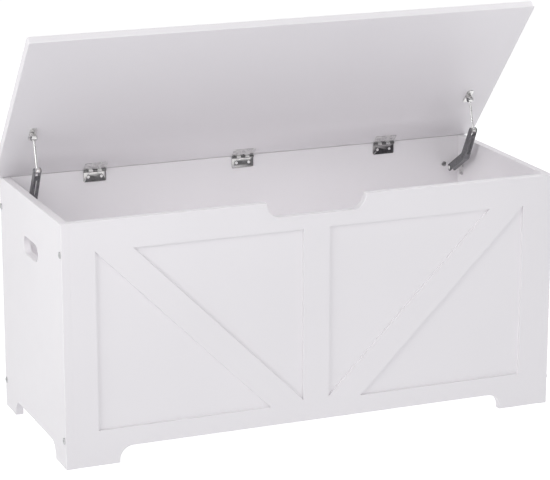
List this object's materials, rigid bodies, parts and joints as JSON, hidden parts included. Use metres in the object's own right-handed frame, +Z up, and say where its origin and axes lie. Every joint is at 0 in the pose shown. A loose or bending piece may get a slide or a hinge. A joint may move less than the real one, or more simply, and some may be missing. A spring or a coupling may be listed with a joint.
{
  "type": "toy chest",
  "caption": "White toy chest on cut-out feet, with a milled front, hand holes, a finger scoop and a hinged lid that folding stays hold open.",
  "frame": {"origin": "on the floor, under the middle of the chest's width and depth", "axes": "+X along the chest's width, to the right of someone facing its front; +Y from the front to the back; +Z up"},
  "size_m": [0.978, 0.376, 0.7485],
  "materials": {
    "painted_board": "white satin paint on board, edges softly rounded",
    "raw_wood": "bare beech dowels",
    "bright_steel": "bright nickel plate",
    "dark_steel": "dull zinc plate",
    "zinc_plate": "bright zinc plate",
    "nylon": "natural nylon"
  },
  "bodies": {
    "carcass": {"front_panel": "painted_board", "back_panel": "painted_board", "left_side_panel": "painted_board", "right_side_panel": "painted_board", "bottom_panel": "painted_board", "left_side_bolts": "zinc_plate", "right_side_bolts": "zinc_plate", "left_barrel_nuts": "zinc_plate", "right_barrel_nuts": "zinc_plate", "corner_dowels": "raw_wood", "hinge_body_screws": "bright_steel", "stay_side_screws": "bright_steel", "left_hinge_body_leaf": "bright_steel", "left_hinge_pin": "bright_steel", "centre_hinge_body_leaf": "bright_steel", "centre_hinge_pin": "bright_steel", "right_hinge_body_leaf": "bright_steel", "right_hinge_pin": "bright_steel", "left_stay_side_bracket": "bright_steel", "left_stay_side_rivet": "bright_steel", "right_stay_side_bracket": "bright_steel", "right_stay_side_rivet": "bright_steel"},
    "lid": {"lid_panel": "painted_board", "hinge_lid_screws": "bright_steel", "stay_lid_screws": "bright_steel", "left_hinge_lid_leaf": "bright_steel", "centre_hinge_lid_leaf": "bright_steel", "right_hinge_lid_leaf": "bright_steel", "left_stay_lid_bracket": "bright_steel", "left_stay_lid_rivet": "dark_steel", "right_stay_lid_bracket": "bright_steel", "right_stay_lid_rivet": "dark_steel"},
    "left_lower_arm": {"left_stay_lower_arm": "dark_steel", "left_stay_elbow_rivet": "dark_steel", "left_stay_spacers": "nylon"},
    "left_upper_link": {"left_stay_upper_link": "bright_steel"},
    "right_lower_arm": {"right_stay_lower_arm": "dark_steel", "right_stay_elbow_rivet": "dark_steel", "right_stay_spacers": "nylon"},
    "right_upper_link": {"right_stay_upper_link": "bright_steel"}
  },
  "joints": [
    {"name": "lid_hinge", "type": "hinge", "parent": "carcass", "child": "lid", "pos_m": [0, 0.1702, 0.4427], "axis": [-1, 0, 0], "range_deg": [-50, 10]},
    {"name": "left_arm_pivot", "type": "hinge", "parent": "carcass", "child": "left_lower_arm", "pos_m": [-0.438, 0.1542, 0.3857], "axis": [-1, 0, 0], "range_deg": [-50, 10]},
    {"name": "left_link_pivot", "type": "hinge", "parent": "lid", "child": "left_upper_link", "pos_m": [-0.438, 0.08305, 0.53536], "axis": [-1, 0, 0], "range_deg": [-10, 50]},
    {"name": "right_arm_pivot", "type": "hinge", "parent": "carcass", "child": "right_lower_arm", "pos_m": [0.438, 0.1542, 0.3857], "axis": [-1, 0, 0], "range_deg": [-50, 10]},
    {"name": "right_link_pivot", "type": "hinge", "parent": "lid", "child": "right_upper_link", "pos_m": [0.438, 0.08305, 0.53536], "axis": [-1, 0, 0], "range_deg": [-10, 50]}
  ],
  "couplings": [
    {"joint": "left_arm_pivot", "follows": "lid_hinge", "ratio": 1},
    {"joint": "left_link_pivot", "follows": "lid_hinge", "ratio": -1},
    {"joint": "right_arm_pivot", "follows": "lid_hinge", "ratio": 1},
    {"joint": "right_link_pivot", "follows": "lid_hinge", "ratio": -1}
  ]
}
